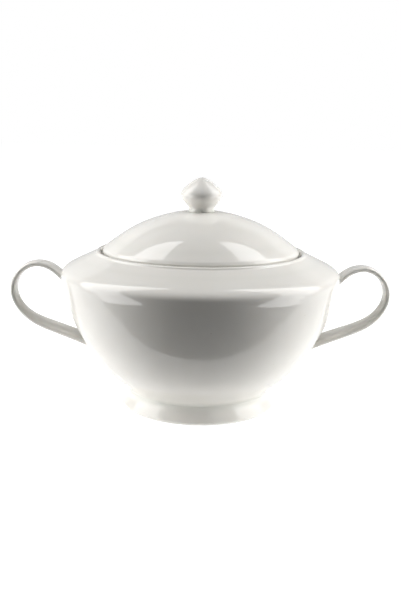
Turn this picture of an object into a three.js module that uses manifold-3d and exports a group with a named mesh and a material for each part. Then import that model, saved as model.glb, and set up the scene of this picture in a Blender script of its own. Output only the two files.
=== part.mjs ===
// A lidded soup tureen in glazed white porcelain: a wide round bowl on a flared foot ring,
// two strap handles, and a low domed lid with a bulb knob. The lid sits on a ledge sunk
// just inside the rim, and a ring under the lid keeps it from sliding off.
// Millimetres, +Z up. The origin is the centre of the foot, on the table.
// The handles point along +X and -X.

import * as THREE from "three";
import { NURBSCurve } from "three/addons/curves/NURBSCurve.js";
import { mergeVertices } from "three/addons/utils/BufferGeometryUtils.js";
import Module from "manifold-3d";

const wasm = await Module();
wasm.setup();

// ---- Driving dimensions ----
const ROUND_STEPS = 48; // facets round the bowl and the lid
const KNOB_STEPS = 24;
const WALL = 4; // thickness of the cast wall

const FOOT_TOP = 14.5; // the bowl is luted to the foot ring at this height
const FOOT_R = 69.7; // widest radius of the foot, just above the table
const FOOT_CONTACT = [62.5, 67]; // inner and outer radius of the flat that stands on the table
const FOOT_INNER_TOP_R = 59.5;
const FOOT_NECK_R = 64.5; // the foot's narrow top, where the bowl springs from it
const FLOOR_UNDER = 11; // underside of the bowl's floor, inside the foot ring
const FLOOR_THICK = 4.5;
const FLOOR_R = 55; // the flat of the floor, inside and underneath

const LIP_R = 89.6; // centre of the rounded rim
const LIP_Z = 134.5;
const LIP_ROUND = 2.2;
const LEDGE_TOP = 131; // the lid's seat
const LEDGE_THICK = 4;
const LEDGE_INNER_R = 78;
const LEDGE_EDGE_ROUND = 0.8;

const LID_GAP = 0.25; // the closed lid rests this far above its seat
const LID_BOTTOM = LEDGE_TOP + LID_GAP;
const LID_R = 85.4;
const LID_EDGE_TOP = 138;
const LID_EDGE_ROUND = 1.2;
const FLANGE_R = [73, 76.6]; // inner and outer radius of the locating ring
const FLANGE_DEPTH = 9.25; // how far it reaches down below the seat
const KNOB_SEAT = 170.75; // flat at the top of the dome
const KNOB_SEAT_R = 11.5;
const KNOB_FOOT_R = 12; // the small flare where the knob is luted to the lid

const ROOT_GAP = 0.3; // between a handle's root and the bowl
const STRAP_HALF_WIDTH = 8.5;
const STRAP_HALF_THICK = 2.5;
const UPPER_ROOT = { width: 1.2, thick: 1.0 }; // strap size at a root, against mid-span
const LOWER_ROOT = { width: 1.65, thick: 1.1 };
const STRAP_STEPS = 26;

// ---- Outlines: control points of smooth curves, [radius, height] ----
// The bowl's outside, from the foot ring out to the belly and in over the shoulder to the rim.
const BOWL_OUTLINE = [
  [65.2, 16.5], [68.4, 20.5], [82.5, 30], [97.9, 50.5], [112, 75.5], [118.2, 98],
  [121.6, 113], [121.6, 120.5], [111.5, 126], [99.5, 131.5], [91.7, 135.2],
];
// The lid's dome, from the knob down to the edge.
const DOME_OUTLINE = [
  [KNOB_SEAT_R, KNOB_SEAT], [19.5, 170.7], [41, 165], [59.3, 157.1], [73.3, 147.7], [84.8, 138.9],
];
// The knob, from its neck up to the pointed tip.
const KNOB_OUTLINE = [
  [11, 172], [10.5, 174.5], [14, 177.5], [18, 182.5], [18.5, 187], [14, 192.5], [5, 199], [0, 200],
];
// The middle of a handle's strap, [distance from the bowl's axis, height], from the upper
// root over the finger loop and back down to the lower root. Both ends lie inside the bowl.
const HANDLE_PATH = [
  [113.5, 103], [122, 112.5], [131.5, 122], [149.5, 124.5], [164, 111.5],
  [166.5, 94.5], [157, 78.5], [140.5, 68.5], [117.5, 61.5], [94, 51.5],
];

// ---- Helpers ----
// A smooth curve that starts and ends at its outer control points and is pulled by the rest.
function smooth(controls) {
  const degree = 3;
  const spans = controls.length - degree;
  const knots = [];
  for (let i = -degree; i <= spans + degree; i++) {
    knots.push(Math.min(Math.max(i / spans, 0), 1));
  }
  return new NURBSCurve(degree, knots, controls.map(([x, y]) => new THREE.Vector4(x, y, 0, 1)));
}

// Points along a control outline, as 2-D [radius, height] vectors.
function outline(controls, steps) {
  return smooth(controls).getPoints(steps).map((p) => new THREE.Vector2(p.x, p.y));
}

// The same points moved sideways: to the left of the direction of travel when distance > 0.
function offset(points, distance) {
  return points.map((p, i) => {
    const before = points[Math.max(i - 1, 0)];
    const after = points[Math.min(i + 1, points.length - 1)];
    const along = after.clone().sub(before).normalize();
    return new THREE.Vector2(p.x - along.y * distance, p.y + along.x * distance);
  });
}

// Points on a round stretch of outline, angles in degrees from the outward radial direction.
function arc(r, z, radius, from, to, steps) {
  const points = [];
  for (let i = 0; i <= steps; i++) {
    const angle = THREE.MathUtils.degToRad(from + ((to - from) * i) / steps);
    points.push(new THREE.Vector2(r + radius * Math.cos(angle), z + radius * Math.sin(angle)));
  }
  return points;
}

// A solid of revolution about Z. Each profile runs outwards along the bottom, then up.
function turned(profile, steps) {
  const points = profile.map((p) => (Array.isArray(p) ? new THREE.Vector2(...p) : p));
  return new THREE.LatheGeometry(points, steps).rotateX(Math.PI / 2);
}

// A ring: a profile that closes on itself.
function turnedRing(profile, steps) {
  return turned([...profile, profile[0]], steps);
}

function solid(geometry) {
  const bare = geometry.clone();
  bare.deleteAttribute("normal");
  bare.deleteAttribute("uv");
  const merged = mergeVertices(bare, 1e-4);
  return new wasm.Manifold(new wasm.Mesh({
    numProp: 3,
    vertProperties: merged.attributes.position.array,
    triVerts: new Uint32Array(merged.index.array),
  }));
}

function geometryOf(cut) {
  const mesh = cut.getMesh();
  const geometry = new THREE.BufferGeometry();
  geometry.setAttribute("position", new THREE.BufferAttribute(mesh.vertProperties, 3));
  geometry.setIndex(new THREE.BufferAttribute(mesh.triVerts, 1));
  geometry.computeVertexNormals();
  return geometry;
}

// ---- Sub-parts ----
const bowlOutside = outline(BOWL_OUTLINE, 16);

// Bowl: floor, belly and shoulder of even wall, a rounded rim and the sunk ledge for the lid.
function bowlGeometry() {
  const ledgeUnder = LEDGE_TOP - LEDGE_THICK;
  const inside = offset(bowlOutside, WALL).filter((p) => p.y < ledgeUnder);
  const floorTop = FLOOR_UNDER + FLOOR_THICK;
  const noseR = LEDGE_INNER_R + LEDGE_EDGE_ROUND;
  return turned([
    [0, FLOOR_UNDER],
    [FLOOR_R, FLOOR_UNDER],
    [FOOT_INNER_TOP_R - 2, FOOT_TOP],
    [FOOT_NECK_R + 0.3, FOOT_TOP],
    ...bowlOutside,
    ...arc(LIP_R, LIP_Z, LIP_ROUND, 30, 180, 4),
    [LIP_R - LIP_ROUND, LEDGE_TOP],
    ...arc(noseR, LEDGE_TOP - LEDGE_EDGE_ROUND, LEDGE_EDGE_ROUND, 90, 180, 1),
    ...arc(noseR, ledgeUnder + LEDGE_EDGE_ROUND, LEDGE_EDGE_ROUND, 180, 270, 1),
    ...inside.reverse(),
    [FLOOR_R, floorTop + 0.3],
    [0, floorTop],
  ], ROUND_STEPS);
}

// Foot ring: flared outwards to a narrow flat that stands on the table.
function footGeometry() {
  const [flatInner, flatOuter] = FOOT_CONTACT;
  const flare = new THREE.QuadraticBezierCurve(
    new THREE.Vector2(FOOT_R, 2.2),
    new THREE.Vector2(FOOT_NECK_R, FOOT_TOP - 5.5),
    new THREE.Vector2(FOOT_NECK_R - 0.5, FOOT_TOP - 0.8),
  );
  return turnedRing([
    [FOOT_INNER_TOP_R, FOOT_TOP],
    [flatInner - 0.7, 0.6],
    [flatInner, 0],
    [flatOuter, 0],
    [FOOT_R - 0.7, 0.7],
    ...flare.getPoints(4),
    [FOOT_NECK_R, FOOT_TOP],
  ], ROUND_STEPS);
}

// Strap handle: a flat oval strap bent into a loop, wider where it meets the bowl.
// side is +1 or -1, the end of X that it points to.
function handleGeometry(side) {
  const path = smooth(HANDLE_PATH);
  const oval = new THREE.Shape();
  oval.absellipse(0, 0, 1, 1, 0, Math.PI * 2);
  const strap = new THREE.ExtrudeGeometry(oval, {
    depth: 1,
    steps: STRAP_STEPS,
    curveSegments: 7,
    bevelEnabled: false,
  });
  const places = strap.attributes.position;
  const { lerp, smoothstep } = THREE.MathUtils;
  for (let i = 0; i < places.count; i++) {
    const t = places.getZ(i);
    const centre = path.getPointAt(t);
    const along = path.getTangentAt(t);
    const upper = 1 - smoothstep(t, 0, 0.3);
    const lower = smoothstep(t, 0.62, 0.98);
    const wide = lerp(1, UPPER_ROOT.width, upper) * lerp(1, LOWER_ROOT.width, lower);
    const thick = lerp(1, UPPER_ROOT.thick, upper) * lerp(1, LOWER_ROOT.thick, lower);
    const outwards = places.getX(i) * STRAP_HALF_THICK * thick;
    const x = centre.x + along.y * outwards;
    const z = centre.y - along.x * outwards;
    // Turning the strap half round about Z, for the other side, keeps its faces outwards.
    places.setXYZ(i, x * side, places.getY(i) * STRAP_HALF_WIDTH * wide * side, z);
  }
  // Trimmed to the bowl's outside, with the clay joint's width between the two.
  const grown = offset(bowlOutside, -ROOT_GAP);
  const bowlSpace = turned([[0, grown[0].y], ...grown, [0, grown.at(-1).y]], ROUND_STEPS);
  return geometryOf(solid(strap).subtract(solid(bowlSpace)));
}

// Lid: a low dome of even wall, thickened at the flat edge that rests on the bowl's ledge.
function lidGeometry() {
  const outside = outline(DOME_OUTLINE, 10);
  const edgeR = LID_R - LID_EDGE_ROUND;
  const inside = offset(outside, -WALL).filter((p) => p.x < FLANGE_R[0] - 0.5);
  return turned([
    [0, KNOB_SEAT - WALL],
    ...inside,
    [FLANGE_R[0], inside.at(-1).y - 3],
    [FLANGE_R[0], LID_BOTTOM],
    ...arc(edgeR, LID_BOTTOM + LID_EDGE_ROUND, LID_EDGE_ROUND, -90, 0, 1),
    ...arc(edgeR, LID_EDGE_TOP - LID_EDGE_ROUND, LID_EDGE_ROUND, 0, 30, 1),
    ...outside.reverse(),
    [0, KNOB_SEAT],
  ], ROUND_STEPS);
}

// Locating ring under the lid: it drops inside the ledge and keeps the lid centred.
function flangeGeometry() {
  const [inner, outer] = FLANGE_R;
  const bottom = LEDGE_TOP - FLANGE_DEPTH;
  return turnedRing([
    [inner, LID_BOTTOM],
    [inner, bottom + 0.8],
    [inner + 0.8, bottom],
    [outer - 0.8, bottom],
    [outer, bottom + 0.8],
    [outer, LID_BOTTOM],
  ], ROUND_STEPS);
}

// Knob: a bulb on a short neck, drawn up to a soft point.
function knobGeometry() {
  return turned([
    [0, KNOB_SEAT],
    [KNOB_FOOT_R, KNOB_SEAT],
    ...outline(KNOB_OUTLINE, 13),
  ], KNOB_STEPS);
}

// ---- Assembly ----
const glaze = new THREE.MeshStandardMaterial({ color: 0xe8e6e0, roughness: 0.12, metalness: 0 });

function piece(name, geometry) {
  const mesh = new THREE.Mesh(geometry, glaze.clone());
  mesh.name = name;
  return mesh;
}

const bowlGroup = new THREE.Group();
bowlGroup.add(piece("bowl", bowlGeometry()));
bowlGroup.add(piece("foot_ring", footGeometry()));
bowlGroup.add(piece("handle_left", handleGeometry(-1)));
bowlGroup.add(piece("handle_right", handleGeometry(1)));

const lidGroup = new THREE.Group();
lidGroup.add(piece("lid", lidGeometry()));
lidGroup.add(piece("lid_flange", flangeGeometry()));
lidGroup.add(piece("knob", knobGeometry()));

const tureen = new THREE.Group();
tureen.add(bowlGroup, lidGroup);

export default tureen;
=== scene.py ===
import math

import bmesh
import bpy
import numpy as np
from mathutils import Matrix, Vector


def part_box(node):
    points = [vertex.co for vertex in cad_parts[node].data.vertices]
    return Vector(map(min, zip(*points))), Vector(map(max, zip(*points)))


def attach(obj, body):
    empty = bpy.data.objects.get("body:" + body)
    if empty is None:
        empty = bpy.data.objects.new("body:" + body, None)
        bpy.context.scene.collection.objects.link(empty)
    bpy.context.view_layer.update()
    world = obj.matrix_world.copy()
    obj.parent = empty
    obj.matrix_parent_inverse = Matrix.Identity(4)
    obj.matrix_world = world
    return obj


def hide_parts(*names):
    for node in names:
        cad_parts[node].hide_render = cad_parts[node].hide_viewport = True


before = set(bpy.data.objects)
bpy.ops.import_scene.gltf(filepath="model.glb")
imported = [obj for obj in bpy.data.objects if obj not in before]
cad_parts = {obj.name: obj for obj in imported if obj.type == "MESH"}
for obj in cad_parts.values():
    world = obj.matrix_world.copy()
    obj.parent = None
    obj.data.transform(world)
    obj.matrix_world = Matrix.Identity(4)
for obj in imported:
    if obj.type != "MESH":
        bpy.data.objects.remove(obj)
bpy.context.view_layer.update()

# A lidded soup tureen in glazed white porcelain. Every piece is turned or swept around the
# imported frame. Outlines are in the part's own millimetres, scaled by UNIT to metres.


# ---- Curve helpers ----
def smooth(controls, t):
    """Points of the clamped, even cubic B-spline through the outer controls, at t from 0 to 1."""
    controls = np.asarray(controls, float)
    spans = len(controls) - 3
    knots = np.clip(np.arange(-3, spans + 4) / spans, 0, 1)
    t = np.clip(np.asarray(t, float), 0, 1)
    span = np.minimum((t * spans).astype(int), spans - 1) + 3
    points = [controls[span - 3 + j] for j in range(4)]
    for level in range(1, 4):
        for j in range(3, level - 1, -1):
            low = knots[span - 3 + j]
            high = knots[span + 1 + j - level]
            share = ((t - low) / (high - low))[:, None]
            points[j] = (1 - share) * points[j - 1] + share * points[j]
    return points[3]


def outline(controls, steps):
    return smooth(controls, np.linspace(0, 1, steps + 1))


def offset(points, distance):
    """The points moved to the left of the direction of travel."""
    along = np.gradient(points, axis=0)
    along /= np.linalg.norm(along, axis=1)[:, None]
    return points + distance * np.column_stack((-along[:, 1], along[:, 0]))


def arc(r, z, radius, start, end, steps):
    angle = np.radians(np.linspace(start, end, steps + 1))
    return np.column_stack((r + radius * np.cos(angle), z + radius * np.sin(angle)))


def rounded(corners, steps=6):
    """An outline through (r, z, radius) corners, each corner rounded to its radius."""
    points = []
    for i, (r, z, radius) in enumerate(corners):
        here = np.array((r, z), float)
        if radius == 0 or i in (0, len(corners) - 1):
            points.append(here)
            continue
        back = np.array(corners[i - 1][:2]) - here
        ahead = np.array(corners[i + 1][:2]) - here
        back /= np.linalg.norm(back)
        ahead /= np.linalg.norm(ahead)
        half = math.acos(np.clip(back @ ahead, -1, 1)) / 2
        cut = radius / math.tan(half)
        start, end = here + back * cut, here + ahead * cut
        for t in np.linspace(0, 1, steps + 1):
            # A rational quadratic curve is an exact arc.
            w = math.sin(half)
            a, b, c = (1 - t) ** 2, 2 * t * (1 - t) * w, t**2
            points.append((a * start + b * here + c * end) / (a + b + c))
    return np.array(points)


# ---- The bowl's outside: control points of a smooth curve, [radius, height] in mm ----
BOWL_OUTLINE = [
    (65.2, 16.5), (68.4, 20.5), (82.5, 30), (97.9, 50.5), (112, 75.5), (118.2, 98),
    (121.6, 113), (121.6, 120.5), (111.5, 126), (99.5, 131.5), (91.7, 135.2),
]
bowl_outside = outline(BOWL_OUTLINE, 160)

# ---- Sizes from the frame ----
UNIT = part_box("bowl")[1].y / bowl_outside[:, 0].max()  # metres to one millimetre of outline

FOOT_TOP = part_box("foot_ring")[1].z / UNIT
FOOT_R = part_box("foot_ring")[1].x / UNIT
LID_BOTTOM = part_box("lid")[0].z / UNIT
LID_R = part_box("lid")[1].x / UNIT
KNOB_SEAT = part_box("knob")[0].z / UNIT
KNOB_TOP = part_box("knob")[1].z / UNIT
HANDLE_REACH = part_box("handle_right")[1].x / UNIT
FLANGE_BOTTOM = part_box("lid_flange")[0].z / UNIT
FLANGE_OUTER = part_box("lid_flange")[1].x / UNIT

# ---- Driving dimensions, mm ----
WALL = 4
FLANGE_INNER = 73
LIP_R, LIP_Z, LIP_ROUND = 89.6, 134.5, 2.2
LEDGE_TOP, LEDGE_THICK, LEDGE_INNER_R = 131, 4, 78
FLOOR_UNDER, FLOOR_TOP = 11, 15.5
FOOT_NECK_R = 64.5
NECK_ROUND = 3.3  # the small hollow where the bowl springs from its foot
LID_EDGE_TOP = 138
STRAP_HALF_WIDTH, STRAP_HALF_THICK = 8.5, 2.5
STRAP_SQUARENESS = 3.0  # 2 is an ellipse, larger is squarer
ROOT_FILLET = 1.8
GLAZE_RUN, GLAZE_RUN_LENGTH = 0.55, 0.13  # where glaze has gathered, as shares of a handle's length
ROOT_POOL = 0.4  # how deep glaze lies in the hollow of a handle's root, against 1 elsewhere
KNOB_FOOT_R = 12  # the small flare where the knob is luted to the lid

TURN_STEPS = 256  # facets round the large pieces
KNOB_STEPS = 128

# ---- The other outlines ----
DOME_OUTLINE = [
    (11.5, KNOB_SEAT), (19.5, 170.7), (41, 165), (59.3, 157.1), (73.3, 147.7), (84.8, 138.9),
]
KNOB_OUTLINE = [
    (11, 172), (10.5, 174.5), (14, 177.5), (18, 182.5), (18.5, 187), (14, 192.5), (5, 199),
    (0, KNOB_TOP),
]
HANDLE_PATH = [
    (113.5, 103), (122, 112.5), (131.5, 122), (149.5, 124.5), (164, 111.5),
    (166.5, 94.5), (157, 78.5), (140.5, 68.5), (117.5, 61.5), (94, 51.5),
]
# The path's bulge is drawn in or out a little, so that the strap reaches as far as the frame's.
path_reach = outline(HANDLE_PATH, 400)[:, 0].max()
handle_path = np.array(HANDLE_PATH) * ((HANDLE_REACH - STRAP_HALF_THICK) / path_reach, 1)


# ---- Mesh helpers ----
def finish_mesh(name, mesh_data, body, node, materials):
    """A smooth-shaded piece that stands for one CAD node and rides on its body."""
    for polygon in mesh_data.polygons:
        polygon.use_smooth = True
    for material in materials:
        mesh_data.materials.append(material)
    piece = bpy.data.objects.new(name, mesh_data)
    bpy.context.scene.collection.objects.link(piece)
    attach(piece, body)
    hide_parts(node)
    return piece


def turned(profile, steps, closed=False, pools=(), bare=None):
    """
    A solid of revolution about Z. The profile, in mm, runs outwards along the bottom, then up.
    pools are the hollow corners, (r, z, reach), where glaze gathers. bare(r, z) tells which
    stretches have no glaze: their faces take the second material.
    """
    profile = np.asarray(profile, float)
    keep = np.ones(len(profile), bool)
    keep[1:] = np.linalg.norm(np.diff(profile, axis=0), axis=1) > 1e-3
    profile = profile[keep]
    bm = bmesh.new()
    pool_layer = bm.verts.layers.float.new("pool")
    angles = [2 * math.pi * k / steps for k in range(steps)]
    rings = []
    for r, z in profile:
        if r < 1e-4:
            ring = [bm.verts.new((0, 0, z * UNIT))] * steps
        else:
            x = r * UNIT
            ring = [bm.verts.new((x * math.cos(a), x * math.sin(a), z * UNIT)) for a in angles]
        depth = max([math.exp(-((r - pr) ** 2 + (z - pz) ** 2) / reach**2)
                     for pr, pz, reach in pools], default=0)
        for vertex in ring:
            vertex[pool_layer] = depth
        rings.append(ring)
    pairs = list(zip(range(len(rings)), range(1, len(rings))))
    if closed:
        pairs.append((len(rings) - 1, 0))
    for i, j in pairs:
        middle = (profile[i] + profile[j]) / 2
        finish = 1 if bare and bare(*middle) else 0
        for k in range(steps):
            around = (k + 1) % steps
            corners = [rings[i][k], rings[i][around], rings[j][around], rings[j][k]]
            corners = list(dict.fromkeys(corners))
            if len(corners) > 2:
                bm.faces.new(corners).material_index = finish
    mesh_data = bpy.data.meshes.new("turned")
    bm.to_mesh(mesh_data)
    bm.free()
    return mesh_data


# ---- Materials ----
def node_tree(name):
    material = bpy.data.materials.new(name)
    material.use_nodes = True
    nodes, links = material.node_tree.nodes, material.node_tree.links
    return material, nodes, links, nodes["Principled BSDF"]


def noise(nodes, links, place, scale, detail=2.0):
    texture = nodes.new("ShaderNodeTexNoise")
    texture.inputs["Scale"].default_value = scale
    texture.inputs["Detail"].default_value = detail
    links.new(place.outputs["Object"], texture.inputs["Vector"])
    return texture.outputs["Fac"]


def ramp(nodes, links, value, low, high, low_colour, high_colour):
    """A colour ramp from low_colour at low to high_colour at high."""
    node = nodes.new("ShaderNodeValToRGB")
    first, last = node.color_ramp.elements
    first.position, first.color = low, (*low_colour, 1)
    last.position, last.color = high, (*high_colour, 1)
    links.new(value, node.inputs["Fac"])
    return node.outputs["Color"]


def mix(nodes, links, share, first, second):
    """Mixes two colours. second is a colour socket or a plain (r, g, b)."""
    node = nodes.new("ShaderNodeMix")
    node.data_type = "RGBA"
    links.new(share, node.inputs["Factor"])
    links.new(first, node.inputs["A"])
    if isinstance(second, tuple):
        node.inputs["B"].default_value = (*second, 1)
    else:
        links.new(second, node.inputs["B"])
    return node.outputs["Result"]


def scaled(nodes, links, value, to_min, to_max, from_min=0.0, from_max=1.0):
    node = nodes.new("ShaderNodeMapRange")
    node.inputs["From Min"].default_value = from_min
    node.inputs["From Max"].default_value = from_max
    node.inputs["To Min"].default_value = to_min
    node.inputs["To Max"].default_value = to_max
    links.new(value, node.inputs["Value"])
    return node.outputs["Result"]


def bump(nodes, links, height, distance, under=None):
    node = nodes.new("ShaderNodeBump")
    node.inputs["Strength"].default_value = 1.0
    node.inputs["Distance"].default_value = distance
    links.new(height, node.inputs["Height"])
    if under:
        links.new(under, node.inputs["Normal"])
    return node.outputs["Normal"]


def glaze_material():
    """
    Clear glaze over warm white porcelain: glossy and faintly wavy, with a few tiny specks and
    pinholes, and a cooler, greener tint where the glaze has gathered in hollow corners.
    """
    material, nodes, links, shader = node_tree("porcelain_glaze")
    shader.inputs["IOR"].default_value = 1.6
    shader.inputs["Subsurface Weight"].default_value = 0.1
    shader.inputs["Subsurface Radius"].default_value = (1.0, 0.85, 0.7)
    shader.inputs["Subsurface Scale"].default_value = 0.0015
    place = nodes.new("ShaderNodeTexCoord")

    cloud = noise(nodes, links, place, 18, 3)
    body_colour = ramp(nodes, links, cloud, 0.35, 0.65, (0.745, 0.727, 0.686), (0.768, 0.752, 0.714))

    pool = nodes.new("ShaderNodeAttribute")
    pool.attribute_name = "pool"
    gathered = scaled(nodes, links, pool.outputs["Fac"], 0, 0.55)
    tinted = mix(nodes, links, gathered, body_colour, (0.62, 0.63, 0.575))

    specks = nodes.new("ShaderNodeTexVoronoi")
    specks.inputs["Scale"].default_value = 150
    links.new(place.outputs["Object"], specks.inputs["Vector"])
    few = scaled(nodes, links, noise(nodes, links, place, 90, 0), 0, 1, 0.66, 0.72)
    near = scaled(nodes, links, specks.outputs["Distance"], 1, 0, 0.03, 0.06)
    speck = nodes.new("ShaderNodeMath")
    speck.operation = "MULTIPLY"
    links.new(few, speck.inputs[0])
    links.new(near, speck.inputs[1])
    colour = mix(nodes, links, speck.outputs["Value"], tinted, (0.42, 0.37, 0.29))
    links.new(colour, shader.inputs["Base Color"])

    polish = scaled(nodes, links, cloud, 0.035, 0.075)
    links.new(polish, shader.inputs["Roughness"])

    wave = noise(nodes, links, place, 30, 1)
    ripple = noise(nodes, links, place, 120, 2)
    waved = bump(nodes, links, wave, 0.00012)
    links.new(bump(nodes, links, ripple, 0.000012, waved), shader.inputs["Normal"])
    return material


def biscuit_material():
    """Bare fired porcelain, where the foot stands and the lid rests: matt and finely grained."""
    material, nodes, links, shader = node_tree("porcelain_bare")
    place = nodes.new("ShaderNodeTexCoord")
    grain = noise(nodes, links, place, 900, 4)
    colour = ramp(nodes, links, grain, 0.3, 0.7, (0.66, 0.64, 0.59), (0.78, 0.765, 0.72))
    links.new(colour, shader.inputs["Base Color"])
    links.new(scaled(nodes, links, grain, 0.62, 0.82), shader.inputs["Roughness"])
    links.new(bump(nodes, links, grain, 0.00004), shader.inputs["Normal"])
    return material


# ---- Pieces ----
def make_bowl(materials):
    ledge_under = LEDGE_TOP - LEDGE_THICK
    spring_r, spring_z = bowl_outside[0]
    neck_r = FOOT_NECK_R + NECK_ROUND
    lean = math.degrees(math.acos((neck_r - spring_r) / NECK_ROUND))
    neck = arc(neck_r, FOOT_TOP, NECK_ROUND, 180, 180 - lean, 8)
    inside = offset(bowl_outside, WALL)
    inside = inside[inside[:, 1] < ledge_under - 0.3][::-1]
    lip_inner_r = LIP_R - LIP_ROUND
    ledge = rounded([
        (lip_inner_r, LIP_Z, 0),
        (lip_inner_r, LEDGE_TOP, 1.0),
        (LEDGE_INNER_R, LEDGE_TOP, 1.0),
        (LEDGE_INNER_R, ledge_under, 1.2),
        (inside[0, 0], ledge_under, 0),
    ])
    floor = rounded([
        (inside[-1, 0], inside[-1, 1], 0),
        (57.5, FLOOR_TOP + 0.5, 5),
        (0, FLOOR_TOP, 0),
    ])
    under = rounded([
        (0, FLOOR_UNDER, 0),
        (54, FLOOR_UNDER, 2),
        (57.5, FOOT_TOP, 0.8),
        (neck[0, 0], FOOT_TOP, 0),
    ])
    lip = arc(LIP_R, LIP_Z, LIP_ROUND, 28, 180, 24)
    profile = np.vstack((under, neck, bowl_outside[1:], lip, ledge, inside, floor))
    pools = [
        (FOOT_NECK_R, FOOT_TOP, 3), (lip_inner_r, LEDGE_TOP, 1.2),
        (57.5, FLOOR_TOP, 7), (inside[0, 0], ledge_under, 3),
    ]
    mesh_data = turned(profile, TURN_STEPS, pools=pools, bare=on_ledge)
    finish_mesh("bowl_shell", mesh_data, "bowl", "bowl", materials)


def on_ledge(r, z):
    """The lid's seat is wiped clean of glaze."""
    return abs(z - LEDGE_TOP) < 0.05 and LEDGE_INNER_R + 1 < r < LIP_R - LIP_ROUND - 1


def make_foot(materials):
    flare = [(FOOT_R, 2.2), (67.2, 6.5), (FOOT_NECK_R, 8.5), (FOOT_NECK_R, FOOT_TOP)]
    base = rounded([
        (59.5, FOOT_TOP, 0),
        (61.8, 0, 1.0),
        (FOOT_R - 0.6, 0, 1.4),
        (FOOT_R, 2.2, 0),
    ])
    profile = np.vstack((base, outline(flare, 24)))
    pools = [(FOOT_NECK_R, FOOT_TOP, 3.5), (59.5, FOOT_TOP, 3)]
    mesh_data = turned(profile, TURN_STEPS, closed=True, pools=pools, bare=lambda r, z: z < 0.2)
    finish_mesh("foot", mesh_data, "bowl", "foot_ring", materials)


def bowl_distance(points):
    """
    Signed distance of 3-D points, in mm, from the bowl's outside, negative inside, and the
    bowl's normal there.
    """
    flat = np.column_stack((np.hypot(points[:, 0], points[:, 1]), points[:, 2]))
    start, end = bowl_outside[:-1], bowl_outside[1:]
    span = end - start
    share = np.einsum("nij,ij->ni", flat[:, None] - start, span) / (span**2).sum(1)
    near = start + np.clip(share, 0, 1)[..., None] * span
    gap = flat[:, None] - near
    reach = np.linalg.norm(gap, axis=2)
    best = reach.argmin(1)
    rows = np.arange(len(flat))
    side = span[best, 1] * gap[rows, best, 0] - span[best, 0] * gap[rows, best, 1]
    normal = np.column_stack((span[best, 1], -span[best, 0]))
    normal /= np.linalg.norm(normal, axis=1)[:, None]
    radial = points[:, :2] / flat[:, :1]
    wall = np.column_stack((radial * normal[:, :1], normal[:, 1]))
    return reach[rows, best] * np.sign(side), wall


def smoothstep(x, low, high):
    x = np.clip((x - low) / (high - low), 0, 1)
    return x * x * (3 - 2 * x)


def strap_points(angle, t):
    """Points on the strap's skin at section angle and path position t, and their section normals."""
    centre = smooth(handle_path, t)
    step = 1e-3
    along = smooth(handle_path, t + step) - smooth(handle_path, t - step)
    along /= np.linalg.norm(along, axis=1)[:, None]
    outwards = np.column_stack((-along[:, 1], along[:, 0]))
    upper = 1 - smoothstep(t, 0, 0.3)
    lower = smoothstep(t, 0.62, 0.98)
    wide = STRAP_HALF_WIDTH * (1 + 0.2 * upper) * (1 + 0.65 * lower)
    thick = STRAP_HALF_THICK * (1 + 0.1 * lower)
    power = 2 / STRAP_SQUARENESS
    cos, sin = np.cos(angle), np.sin(angle)
    across = np.sign(cos) * np.abs(cos) ** power * thick
    aside = np.sign(sin) * np.abs(sin) ** power * wide
    points = np.column_stack((
        centre[:, 0] + outwards[:, 0] * across,
        aside,
        centre[:, 1] + outwards[:, 1] * across,
    ))
    out_n = np.sign(cos) * np.abs(cos) ** (2 - power) / thick
    out_y = np.sign(sin) * np.abs(sin) ** (2 - power) / wide
    normals = np.column_stack((outwards[:, 0] * out_n, out_y, outwards[:, 1] * out_n))
    normals /= np.linalg.norm(normals, axis=1)[:, None]
    return points, normals


def crossing(angle, inside_t, outside_t):
    """Path position where the strap's skin, at a section angle, meets the bowl."""
    for _ in range(30):
        middle = (inside_t + outside_t) / 2
        distance, _wall = bowl_distance(strap_points(angle, middle)[0])
        inside = distance < 0
        inside_t = np.where(inside, middle, inside_t)
        outside_t = np.where(inside, outside_t, middle)
    return outside_t


def make_handle(name, node, side, materials):
    """A flat oval strap bent into a loop, with a small fillet where it is luted to the bowl."""
    around, along = 64, 150
    angle = np.linspace(0, 2 * np.pi, around, endpoint=False) + np.pi / around
    ones = np.ones(around)
    start = crossing(angle, 0.0 * ones, 0.2 * ones)
    end = crossing(angle, 1.0 * ones, 0.8 * ones)
    # Rings crowd together towards both roots, where the fillet turns.
    even = np.linspace(0, 1, along)
    crowded = 0.5 - 0.5 * np.cos(np.pi * (0.5 - 0.5 * np.cos(np.pi * even)))
    bm = bmesh.new()
    pool_layer = bm.verts.layers.float.new("pool")
    rings = []
    for share in crowded:
        points, normals = strap_points(angle, start + (end - start) * share)
        distance, wall = bowl_distance(points)
        spread = normals - (normals * wall).sum(1)[:, None] * wall
        spread /= np.linalg.norm(spread, axis=1)[:, None]
        depth = np.clip(ROOT_FILLET - np.maximum(distance, 0), 0, ROOT_FILLET)
        grow = ROOT_FILLET - np.sqrt(ROOT_FILLET**2 - depth**2)
        points = points + spread * grow[:, None]
        points[:, :2] *= side
        ring = [bm.verts.new(p * UNIT) for p in points]
        run = math.exp(-((share - GLAZE_RUN) / GLAZE_RUN_LENGTH) ** 2)
        for vertex, gap in zip(ring, distance):
            hollow = math.exp(-(gap / (1.5 * ROOT_FILLET)) ** 2)
            vertex[pool_layer] = run + ROOT_POOL * hollow
        rings.append(ring)
    for lower, upper in zip(rings, rings[1:]):
        for k in range(around):
            after = (k + 1) % around
            bm.faces.new((lower[k], lower[after], upper[after], upper[k]))
    bm.faces.new(rings[0][::-1])
    bm.faces.new(rings[-1])
    bmesh.ops.recalc_face_normals(bm, faces=bm.faces)
    mesh_data = bpy.data.meshes.new(name)
    bm.to_mesh(mesh_data)
    bm.free()
    finish_mesh(name, mesh_data, "bowl", node, materials)


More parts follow.
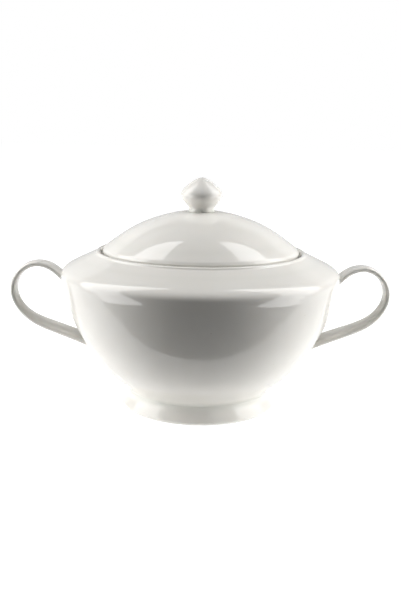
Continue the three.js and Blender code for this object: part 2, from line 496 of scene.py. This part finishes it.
def make_lid(materials):
    outside = outline(DOME_OUTLINE, 110)
    inside = offset(outside, -WALL)
    inside = inside[inside[:, 0] < FLANGE_INNER - 4]
    under = rounded([
        (inside[-1, 0], inside[-1, 1], 0),
        (FLANGE_INNER, inside[-1, 1] - 4, 3),
        (FLANGE_INNER, LID_BOTTOM, 0),
        (LID_R, LID_BOTTOM, 1.0),
        (LID_R, LID_EDGE_TOP - 0.6, 1.4),
        (84.2, 139.25, 0),
    ])
    top = outside[outside[:, 0] < 84][::-1]
    profile = np.vstack(([(0, KNOB_SEAT - WALL)], inside, under, top, [(0, KNOB_SEAT)]))
    pools = [(KNOB_FOOT_R, KNOB_SEAT, 2.5), (FLANGE_INNER, inside[-1, 1] - 4, 4)]
    mesh_data = turned(profile, TURN_STEPS, pools=pools, bare=under_edge)
    finish_mesh("lid_dome", mesh_data, "lid", "lid", materials)


def under_edge(r, z):
    """The face that rests on the bowl's ledge is wiped clean of glaze."""
    return abs(z - LID_BOTTOM) < 0.05 and r > FLANGE_OUTER + 0.5


def make_flange(materials):
    profile = rounded([
        (FLANGE_OUTER, LID_BOTTOM, 0),
        (FLANGE_INNER, LID_BOTTOM, 0),
        (FLANGE_INNER, FLANGE_BOTTOM, 1.2),
        (FLANGE_OUTER, FLANGE_BOTTOM, 1.2),
        (FLANGE_OUTER, LID_BOTTOM, 0),
    ])[1:]
    mesh_data = turned(profile, TURN_STEPS, closed=True)
    finish_mesh("lid_locating_ring", mesh_data, "lid", "lid_flange", materials)


def make_knob(materials):
    bulb = outline(KNOB_OUTLINE, 80)
    profile = np.vstack(([(0, KNOB_SEAT), (KNOB_FOOT_R, KNOB_SEAT)], bulb))
    mesh_data = turned(profile, KNOB_STEPS, pools=[(11, KNOB_SEAT + 0.5, 2.5)])
    finish_mesh("lid_knob", mesh_data, "lid", "knob", materials)


finishes = [glaze_material(), biscuit_material()]
make_bowl(finishes)
make_foot(finishes)
make_handle("left_handle", "handle_left", -1, finishes)
make_handle("right_handle", "handle_right", 1, finishes)
make_lid(finishes)
make_flange(finishes)
make_knob(finishes)


# ---- Studio ----
# Soft light comes from both sides, from both front corners and from the ceiling. What shines
# in the glaze is a tall panel leaning over each side, open towards the camera, with a white
# wall behind and a white table below. The camera sees none of these, only a white floor.
# Places are in metres, and a brightness of 1 is white.
MIDDLE = Vector((0, 0, 0.13))
LAMP_DISTANCE = 1.17
SIDE_LIGHT = 9.4
CORNER_LIGHT = 2.5
CEILING_LIGHT = 5.9
PANEL_SHINE = 2.8
WALL_SHINE = 0.55
TABLE_SHINE = 1.1
TABLE_GLOW = 0.35  # the part of the table just before the tureen, lit from the front
TABLE_EDGE = -0.131  # just before the tureen, where the table ends


def make_camera():
    data = bpy.data.cameras.new("camera")
    data.lens = 49.1
    data.sensor_width = 36
    camera = bpy.data.objects.new("camera", data)
    bpy.context.scene.collection.objects.link(camera)
    pitch, roll = math.radians(90 - 12.18), math.radians(1.0)
    camera.matrix_world = (
        Matrix.Translation((0.0004, -0.712, 0.245))
        @ Matrix.Rotation(pitch, 4, "X")
        @ Matrix.Rotation(roll, 4, "Z")
    )
    bpy.context.scene.camera = camera


def sheet(name, corners, material):
    """A flat polygon that belongs to the studio, not to the tureen."""
    mesh_data = bpy.data.meshes.new(name)
    mesh_data.from_pydata(corners, [], [range(len(corners))])
    mesh_data.materials.append(material)
    plane = bpy.data.objects.new(name, mesh_data)
    bpy.context.scene.collection.objects.link(plane)
    return plane


def rectangle(x_range, y_range, z):
    (x0, x1), (y0, y1) = x_range, y_range
    return [(x0, y0, z), (x1, y0, z), (x1, y1, z), (x0, y1, z)]


def make_floor():
    """White paper that only the camera sees: it takes a faint shadow and casts no light. Its glow is
    also painted dimmer towards the tureen, a painted shadow round the foot.
    """
    material, nodes, links, shader = node_tree("floor_white")
    shader.inputs["Base Color"].default_value = (0.30, 0.30, 0.30, 1)
    shader.inputs["Roughness"].default_value = 1.0
    shader.inputs["Emission Color"].default_value = (1, 1, 1, 1)
    place = nodes.new("ShaderNodeTexCoord")
    away = nodes.new("ShaderNodeVectorMath")
    away.operation = "LENGTH"
    links.new(place.outputs["Object"], away.inputs[0])
    # Painted shadow: the floor's glow falls from 1.0 at half a metre from the middle to 0.86 within
    # a tenth of a metre of it.
    level = scaled(nodes, links, away.outputs["Value"], 0.86, 1.0, 0.1, 0.5)
    links.new(level, shader.inputs["Emission Strength"])
    floor = sheet("floor", rectangle((-8, 8), (-8, 8), 0), material)
    floor.visible_diffuse = False
    floor.visible_glossy = False
    floor.visible_transmission = False
    floor.visible_shadow = False


def make_table():
    """The white table, seen only by light. Its part just before the tureen is lit brighter."""
    front = rectangle((-0.2, 0.2), (TABLE_EDGE, 0), -0.0006)
    for name, corners, extra in (
        ("table", table_outline(-0.001), 0),
        ("table_front", front, TABLE_GLOW),
    ):
        material, _, _, shader = node_tree(name)
        shader.inputs["Base Color"].default_value = (0.9, 0.9, 0.89, 1)
        shader.inputs["Roughness"].default_value = 0.9
        shader.inputs["Emission Color"].default_value = (1, 1, 1, 1)
        shader.inputs["Emission Strength"].default_value = extra
        sheet(name, corners, material).visible_camera = False


def table_outline(z):
    """The table's front edge is straight before the tureen and falls back at both sides."""
    right = [(0.17, TABLE_EDGE), (0.27, TABLE_EDGE + 0.035), (1.7, TABLE_EDGE + 0.04), (1.7, 1.4)]
    left = [(-x, y) for x, y in reversed(right)]
    return [(x, y, z) for x, y in right + left]


def softbox(name, azimuth, elevation, width, height, brightness):
    """
    A rectangular lamp aimed at the tureen's middle, placed by its angles in degrees round from
    the camera's side and up from level. It lights the glaze, but doesn't show in it.
    """
    turn, rise = math.radians(azimuth), math.radians(elevation)
    outwards = Vector((
        math.sin(turn) * math.cos(rise), -math.cos(turn) * math.cos(rise), math.sin(rise),
    ))
    data = bpy.data.lights.new(name, "AREA")
    data.shape = "RECTANGLE"
    data.size, data.size_y = width, height
    data.energy = brightness * math.pi * width * height
    lamp = bpy.data.objects.new(name, data)
    bpy.context.scene.collection.objects.link(lamp)
    aim = (-outwards).to_track_quat("-Z", "Y").to_matrix().to_4x4()
    lamp.matrix_world = Matrix.Translation(MIDDLE + outwards * LAMP_DISTANCE) @ aim
    lamp.visible_camera = False
    lamp.visible_glossy = False


def shine(name, corners, brightness):
    """Shows in the glaze, but gives no other light."""
    plane = sheet(name, corners, glowing(name, brightness))
    plane.visible_camera = False
    plane.visible_shadow = False
    plane.visible_diffuse = False


def glowing(name, brightness):
    material = bpy.data.materials.new(name)
    material.use_nodes = True
    nodes = material.node_tree.nodes
    nodes.clear()
    emission = nodes.new("ShaderNodeEmission")
    emission.inputs["Strength"].default_value = brightness
    output = nodes.new("ShaderNodeOutputMaterial")
    material.node_tree.links.new(emission.outputs["Emission"], output.inputs["Surface"])
    return material


def make_lights():
    softbox("ceiling_light", 180, 85, 1.14, 0.5, CEILING_LIGHT)
    for side, hand in ((-1, "left"), (1, "right")):
        softbox(f"{hand}_side_light", 98 * side, 11, 0.58, 0.78, SIDE_LIGHT)
        softbox(f"{hand}_corner_light", 66 * side, 7, 0.66, 0.92, CORNER_LIGHT)
        shine(f"{hand}_panel", mirrored(side, [
            (0.18, 0.29, 1.13), (0.82, 0.51, 0.76), (2.05, -0.07, -0.83), (0.82, -0.82, -0.46),
        ]), PANEL_SHINE)
    shine("wall", [(-1.7, 1.4, 0), (1.7, 1.4, 0), (1.7, 1.4, 1.2), (-1.7, 1.4, 1.2)], WALL_SHINE)
    shine("table_top", table_outline(-0.0002), TABLE_SHINE)


def mirrored(side, corners):
    return [(side * x, y, z) for x, y, z in corners]


def make_world(seen, ambient):
    """White where the camera looks past the floor, and dim as a light."""
    world = bpy.data.worlds.new("studio")
    world.use_nodes = True
    nodes, links = world.node_tree.nodes, world.node_tree.links
    path = nodes.new("ShaderNodeLightPath")
    level = scaled(nodes, links, path.outputs["Is Camera Ray"], ambient, seen)
    links.new(level, nodes["Background"].inputs["Strength"])
    nodes["Background"].inputs["Color"].default_value = (1, 1, 1, 1)
    bpy.context.scene.world = world


make_camera()
make_floor()
make_table()
make_lights()
make_world(1.0, 0.01)
bpy.context.scene.view_settings.view_transform = "Standard"
